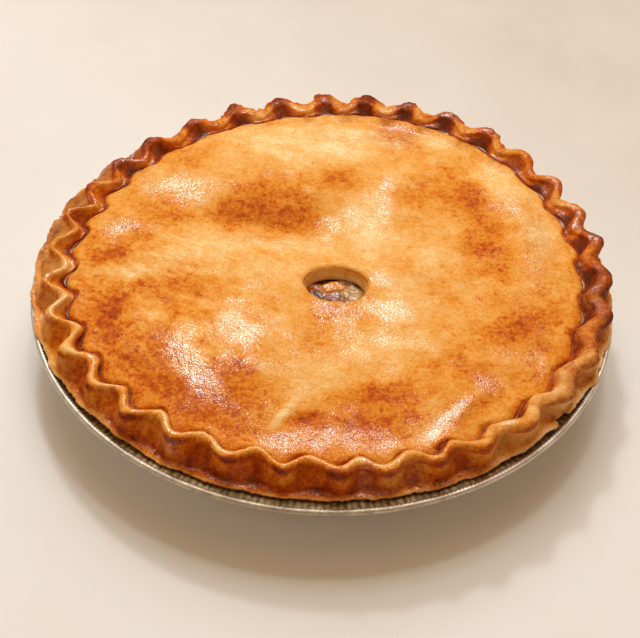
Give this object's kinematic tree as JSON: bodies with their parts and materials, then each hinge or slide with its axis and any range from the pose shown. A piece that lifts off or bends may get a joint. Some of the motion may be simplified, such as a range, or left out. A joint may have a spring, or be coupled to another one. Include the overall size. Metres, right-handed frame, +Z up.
{
  "type": "apple pie",
  "caption": "Round double-crust apple pie with a fluted crimped edge and a small steam vent, baked and standing in its shallow foil tin.",
  "frame": {"origin": "centre of the bounding box at the bottom, on the flat underside of the tin's base", "axes": "+Z up through the pie; the side nearest the viewer faces -Y and +X is to its right"},
  "size_m": [0.2452, 0.244, 0.0456],
  "materials": {
    "foil": "bright rolled foil with fine pleats and a knurled rim",
    "pastry": "egg-washed shortcrust baked golden with darker patches, satin",
    "apple_filling": "glossy cooked apple pieces in syrup"
  },
  "bodies": {
    "root": {"foil_tin": "foil", "crust": "pastry", "filling": "apple_filling"}
  },
  "joints": []
}
